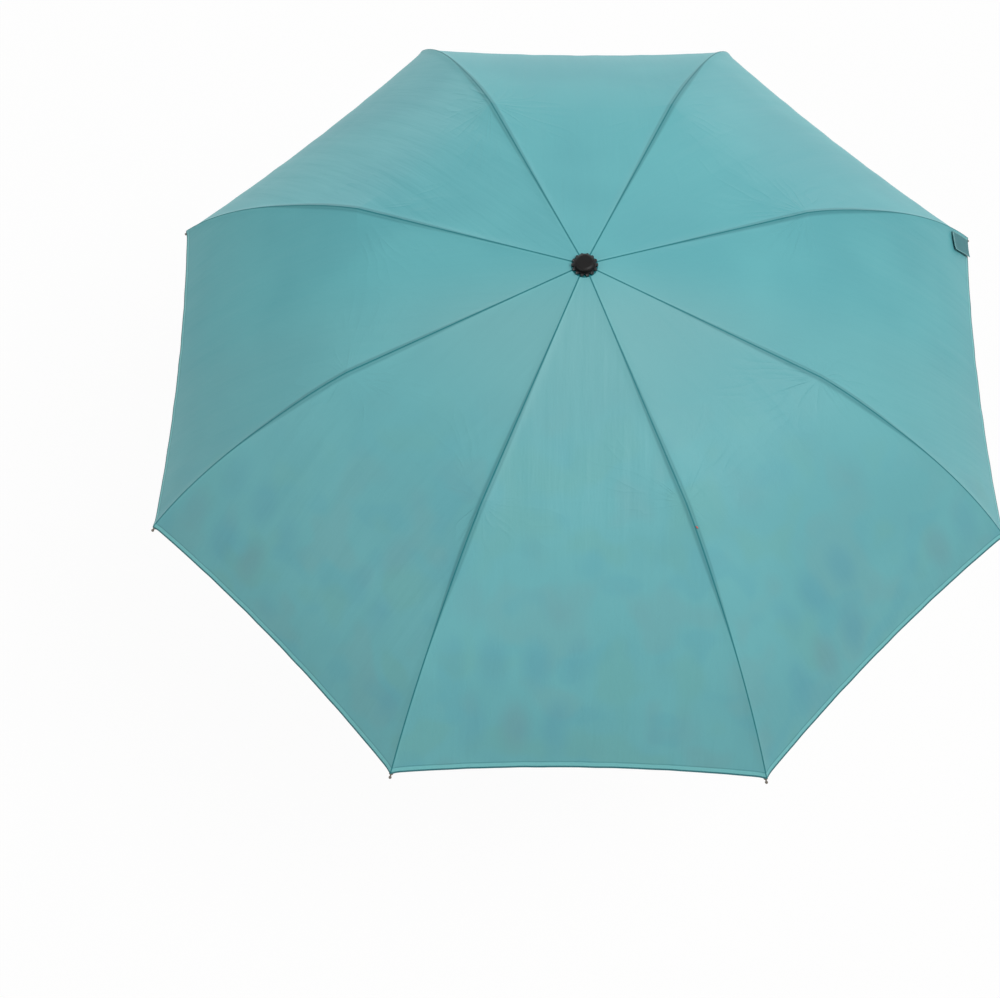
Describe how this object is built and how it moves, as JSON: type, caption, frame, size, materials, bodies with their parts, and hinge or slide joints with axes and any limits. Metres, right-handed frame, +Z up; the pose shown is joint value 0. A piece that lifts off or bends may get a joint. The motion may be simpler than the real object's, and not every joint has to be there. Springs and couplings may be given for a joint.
{
  "type": "umbrella",
  "caption": "Reverse-folding stick umbrella with a double canopy, a C-shaped grip and a sliding runner that folds the ribs up and inside out.",
  "frame": {"origin": "centre of the C grip's opening, on the shaft's axis", "axes": "+Z up the shaft from the grip to the crown cap, +X out through the mouth of the C grip, +Y the side of the runner's oval button; the canopy is open"},
  "size_m": [0.9358, 0.9358, 0.7527],
  "materials": {
    "soft_black_plastic": "soft matte",
    "black_plastic": "satin",
    "glossy_black_plastic": "gloss",
    "black_tube": "satin black",
    "bright_wire": "bright",
    "bright_tip": "bright",
    "black_steel": "satin black",
    "fibreglass_rod": "satin",
    "red_plastic": "gloss",
    "teal_cloth": "woven",
    "printed_cloth": "woven print",
    "dark_teal_cloth": "woven"
  },
  "bodies": {
    "shaft": {"handle": "soft_black_plastic", "neck_ring": "black_plastic", "shaft_tube": "black_tube", "crown_notch": "black_plastic", "crown_wire": "bright_wire", "crown_washer": "black_plastic", "crown_cap": "glossy_black_plastic", "runner_stop": "black_plastic", "outer_canopy": "teal_cloth"},
    "runner": {"runner_sleeve": "black_plastic", "runner_collar": "black_plastic", "runner_wire": "bright_wire", "inner_canopy": "printed_cloth"},
    "button": {"release_button": "glossy_black_plastic", "red_key": "red_plastic"},
    "arm_1": {"arm_1": "black_steel"},
    "link_1": {"link_1": "black_steel"},
    "rib_inner_1": {"rib_inner_1": "fibreglass_rod"},
    "rib_outer_1": {"rib_outer_1": "fibreglass_rod", "rib_tip_1": "bright_tip", "rim_tab": "dark_teal_cloth"},
    "arm_2": {"arm_2": "black_steel"},
    "link_2": {"link_2": "black_steel"},
    "rib_inner_2": {"rib_inner_2": "fibreglass_rod"},
    "rib_outer_2": {"rib_outer_2": "fibreglass_rod", "rib_tip_2": "bright_tip"},
    "arm_3": {"arm_3": "black_steel"},
    "link_3": {"link_3": "black_steel"},
    "rib_inner_3": {"rib_inner_3": "fibreglass_rod"},
    "rib_outer_3": {"rib_outer_3": "fibreglass_rod", "rib_tip_3": "bright_tip"},
    "arm_4": {"arm_4": "black_steel"},
    "link_4": {"link_4": "black_steel"},
    "rib_inner_4": {"rib_inner_4": "fibreglass_rod"},
    "rib_outer_4": {"rib_outer_4": "fibreglass_rod", "rib_tip_4": "bright_tip"},
    "arm_5": {"arm_5": "black_steel"},
    "link_5": {"link_5": "black_steel"},
    "rib_inner_5": {"rib_inner_5": "fibreglass_rod"},
    "rib_outer_5": {"rib_outer_5": "fibreglass_rod", "rib_tip_5": "bright_tip"},
    "arm_6": {"arm_6": "black_steel"},
    "link_6": {"link_6": "black_steel"},
    "rib_inner_6": {"rib_inner_6": "fibreglass_rod"},
    "rib_outer_6": {"rib_outer_6": "fibreglass_rod", "rib_tip_6": "bright_tip", "closing_strap": "printed_cloth"},
    "arm_7": {"arm_7": "black_steel"},
    "link_7": {"link_7": "black_steel"},
    "rib_inner_7": {"rib_inner_7": "fibreglass_rod"},
    "rib_outer_7": {"rib_outer_7": "fibreglass_rod", "rib_tip_7": "bright_tip"},
    "arm_8": {"arm_8": "black_steel"},
    "link_8": {"link_8": "black_steel"},
    "rib_inner_8": {"rib_inner_8": "fibreglass_rod"},
    "rib_outer_8": {"rib_outer_8": "fibreglass_rod", "rib_tip_8": "bright_tip"}
  },
  "joints": [
    {"name": "runner_slide", "type": "slide", "parent": "shaft", "child": "runner", "axis": [0, 0, -1], "range_m": [0, 0.3884], "deforming": ["outer_canopy", "inner_canopy", "closing_strap"]},
    {"name": "button_press", "type": "slide", "parent": "runner", "child": "button", "axis": [0, -1, 0], "range_m": [0, 0.0008], "stiffness_N_per_m": 1500, "springref_m": -0.001},
    {"name": "arm_fold_1", "type": "hinge", "parent": "shaft", "child": "arm_1", "pos_m": [0.01109, 0.00459, 0.672], "axis": [-0.3827, 0.9239, 0], "range_deg": [0, 77.17]},
    {"name": "link_fold_1", "type": "hinge", "parent": "runner", "child": "link_1", "pos_m": [0.01109, 0.00459, 0.56148], "axis": [0.3827, -0.9239, 0], "range_deg": [0, 73.23]},
    {"name": "rib_fold_1", "type": "hinge", "parent": "arm_1", "child": "rib_inner_1", "pos_m": [0.23876, 0.0989, 0.62486], "axis": [0.3827, -0.9239, 0], "range_deg": [0, 191.27]},
    {"name": "rib_flex_1", "type": "hinge", "parent": "rib_inner_1", "child": "rib_outer_1", "pos_m": [0.34469, 0.14277, 0.5634], "axis": [0.3827, -0.9239, 0], "range_deg": [0, 21]},
    {"name": "arm_fold_2", "type": "hinge", "parent": "shaft", "child": "arm_2", "pos_m": [0.00459, 0.01109, 0.672], "axis": [-0.9239, 0.3827, 0], "range_deg": [0, 77.17]},
    {"name": "link_fold_2", "type": "hinge", "parent": "runner", "child": "link_2", "pos_m": [0.00459, 0.01109, 0.56148], "axis": [0.9239, -0.3827, 0], "range_deg": [0, 73.23]},
    {"name": "rib_fold_2", "type": "hinge", "parent": "arm_2", "child": "rib_inner_2", "pos_m": [0.0989, 0.23876, 0.62486], "axis": [0.9239, -0.3827, 0], "range_deg": [0, 191.27]},
    {"name": "rib_flex_2", "type": "hinge", "parent": "rib_inner_2", "child": "rib_outer_2", "pos_m": [0.14277, 0.34469, 0.5634], "axis": [0.9239, -0.3827, 0], "range_deg": [0, 21]},
    {"name": "arm_fold_3", "type": "hinge", "parent": "shaft", "child": "arm_3", "pos_m": [-0.00459, 0.01109, 0.672], "axis": [-0.9239, -0.3827, 0], "range_deg": [0, 77.17]},
    {"name": "link_fold_3", "type": "hinge", "parent": "runner", "child": "link_3", "pos_m": [-0.00459, 0.01109, 0.56148], "axis": [0.9239, 0.3827, 0], "range_deg": [0, 73.23]},
    {"name": "rib_fold_3", "type": "hinge", "parent": "arm_3", "child": "rib_inner_3", "pos_m": [-0.0989, 0.23876, 0.62486], "axis": [0.9239, 0.3827, 0], "range_deg": [0, 191.27]},
    {"name": "rib_flex_3", "type": "hinge", "parent": "rib_inner_3", "child": "rib_outer_3", "pos_m": [-0.14277, 0.34469, 0.5634], "axis": [0.9239, 0.3827, 0], "range_deg": [0, 21]},
    {"name": "arm_fold_4", "type": "hinge", "parent": "shaft", "child": "arm_4", "pos_m": [-0.01109, 0.00459, 0.672], "axis": [-0.3827, -0.9239, 0], "range_deg": [0, 77.17]},
    {"name": "link_fold_4", "type": "hinge", "parent": "runner", "child": "link_4", "pos_m": [-0.01109, 0.00459, 0.56148], "axis": [0.3827, 0.9239, 0], "range_deg": [0, 73.23]},
    {"name": "rib_fold_4", "type": "hinge", "parent": "arm_4", "child": "rib_inner_4", "pos_m": [-0.23876, 0.0989, 0.62486], "axis": [0.3827, 0.9239, 0], "range_deg": [0, 191.27]},
    {"name": "rib_flex_4", "type": "hinge", "parent": "rib_inner_4", "child": "rib_outer_4", "pos_m": [-0.34469, 0.14277, 0.5634], "axis": [0.3827, 0.9239, 0], "range_deg": [0, 21]},
    {"name": "arm_fold_5", "type": "hinge", "parent": "shaft", "child": "arm_5", "pos_m": [-0.01109, -0.00459, 0.672], "axis": [0.3827, -0.9239, 0], "range_deg": [0, 77.17]},
    {"name": "link_fold_5", "type": "hinge", "parent": "runner", "child": "link_5", "pos_m": [-0.01109, -0.00459, 0.56148], "axis": [-0.3827, 0.9239, 0], "range_deg": [0, 73.23]},
    {"name": "rib_fold_5", "type": "hinge", "parent": "arm_5", "child": "rib_inner_5", "pos_m": [-0.23876, -0.0989, 0.62486], "axis": [-0.3827, 0.9239, 0], "range_deg": [0, 191.27]},
    {"name": "rib_flex_5", "type": "hinge", "parent": "rib_inner_5", "child": "rib_outer_5", "pos_m": [-0.34469, -0.14277, 0.5634], "axis": [-0.3827, 0.9239, 0], "range_deg": [0, 21]},
    {"name": "arm_fold_6", "type": "hinge", "parent": "shaft", "child": "arm_6", "pos_m": [-0.00459, -0.01109, 0.672], "axis": [0.9239, -0.3827, 0], "range_deg": [0, 77.17]},
    {"name": "link_fold_6", "type": "hinge", "parent": "runner", "child": "link_6", "pos_m": [-0.00459, -0.01109, 0.56148], "axis": [-0.9239, 0.3827, 0], "range_deg": [0, 73.23]},
    {"name": "rib_fold_6", "type": "hinge", "parent": "arm_6", "child": "rib_inner_6", "pos_m": [-0.0989, -0.23876, 0.62486], "axis": [-0.9239, 0.3827, 0], "range_deg": [0, 191.27]},
    {"name": "rib_flex_6", "type": "hinge", "parent": "rib_inner_6", "child": "rib_outer_6", "pos_m": [-0.14277, -0.34469, 0.5634], "axis": [-0.9239, 0.3827, 0], "range_deg": [0, 21]},
    {"name": "arm_fold_7", "type": "hinge", "parent": "shaft", "child": "arm_7", "pos_m": [0.00459, -0.01109, 0.672], "axis": [0.9239, 0.3827, 0], "range_deg": [0, 77.17]},
    {"name": "link_fold_7", "type": "hinge", "parent": "runner", "child": "link_7", "pos_m": [0.00459, -0.01109, 0.56148], "axis": [-0.9239, -0.3827, 0], "range_deg": [0, 73.23]},
    {"name": "rib_fold_7", "type": "hinge", "parent": "arm_7", "child": "rib_inner_7", "pos_m": [0.0989, -0.23876, 0.62486], "axis": [-0.9239, -0.3827, 0], "range_deg": [0, 191.27]},
    {"name": "rib_flex_7", "type": "hinge", "parent": "rib_inner_7", "child": "rib_outer_7", "pos_m": [0.14277, -0.34469, 0.5634], "axis": [-0.9239, -0.3827, 0], "range_deg": [0, 21]},
    {"name": "arm_fold_8", "type": "hinge", "parent": "shaft", "child": "arm_8", "pos_m": [0.01109, -0.00459, 0.672], "axis": [0.3827, 0.9239, 0], "range_deg": [0, 77.17]},
    {"name": "link_fold_8", "type": "hinge", "parent": "runner", "child": "link_8", "pos_m": [0.01109, -0.00459, 0.56148], "axis": [-0.3827, -0.9239, 0], "range_deg": [0, 73.23]},
    {"name": "rib_fold_8", "type": "hinge", "parent": "arm_8", "child": "rib_inner_8", "pos_m": [0.23876, -0.0989, 0.62486], "axis": [-0.3827, -0.9239, 0], "range_deg": [0, 191.27]},
    {"name": "rib_flex_8", "type": "hinge", "parent": "rib_inner_8", "child": "rib_outer_8", "pos_m": [0.34469, -0.14277, 0.5634], "axis": [-0.3827, -0.9239, 0], "range_deg": [0, 21]}
  ],
  "couplings": [
    {"joint": "arm_fold_1", "follows": "runner_slide", "rad_per_m": 3.4677},
    {"joint": "link_fold_1", "follows": "runner_slide", "rad_per_m": 3.2906},
    {"joint": "rib_fold_1", "follows": "runner_slide", "rad_per_m": 8.595},
    {"joint": "rib_flex_1", "follows": "runner_slide", "rad_per_m": 0.94366},
    {"joint": "arm_fold_2", "follows": "runner_slide", "rad_per_m": 3.4677},
    {"joint": "link_fold_2", "follows": "runner_slide", "rad_per_m": 3.2906},
    {"joint": "rib_fold_2", "follows": "runner_slide", "rad_per_m": 8.595},
    {"joint": "rib_flex_2", "follows": "runner_slide", "rad_per_m": 0.94366},
    {"joint": "arm_fold_3", "follows": "runner_slide", "rad_per_m": 3.4677},
    {"joint": "link_fold_3", "follows": "runner_slide", "rad_per_m": 3.2906},
    {"joint": "rib_fold_3", "follows": "runner_slide", "rad_per_m": 8.595},
    {"joint": "rib_flex_3", "follows": "runner_slide", "rad_per_m": 0.94366},
    {"joint": "arm_fold_4", "follows": "runner_slide", "rad_per_m": 3.4677},
    {"joint": "link_fold_4", "follows": "runner_slide", "rad_per_m": 3.2906},
    {"joint": "rib_fold_4", "follows": "runner_slide", "rad_per_m": 8.595},
    {"joint": "rib_flex_4", "follows": "runner_slide", "rad_per_m": 0.94366},
    {"joint": "arm_fold_5", "follows": "runner_slide", "rad_per_m": 3.4677},
    {"joint": "link_fold_5", "follows": "runner_slide", "rad_per_m": 3.2906},
    {"joint": "rib_fold_5", "follows": "runner_slide", "rad_per_m": 8.595},
    {"joint": "rib_flex_5", "follows": "runner_slide", "rad_per_m": 0.94366},
    {"joint": "arm_fold_6", "follows": "runner_slide", "rad_per_m": 3.4677},
    {"joint": "link_fold_6", "follows": "runner_slide", "rad_per_m": 3.2906},
    {"joint": "rib_fold_6", "follows": "runner_slide", "rad_per_m": 8.595},
    {"joint": "rib_flex_6", "follows": "runner_slide", "rad_per_m": 0.94366},
    {"joint": "arm_fold_7", "follows": "runner_slide", "rad_per_m": 3.4677},
    {"joint": "link_fold_7", "follows": "runner_slide", "rad_per_m": 3.2906},
    {"joint": "rib_fold_7", "follows": "runner_slide", "rad_per_m": 8.595},
    {"joint": "rib_flex_7", "follows": "runner_slide", "rad_per_m": 0.94366},
    {"joint": "arm_fold_8", "follows": "runner_slide", "rad_per_m": 3.4677},
    {"joint": "link_fold_8", "follows": "runner_slide", "rad_per_m": 3.2906},
    {"joint": "rib_fold_8", "follows": "runner_slide", "rad_per_m": 8.595},
    {"joint": "rib_flex_8", "follows": "runner_slide", "rad_per_m": 0.94366}
  ]
}
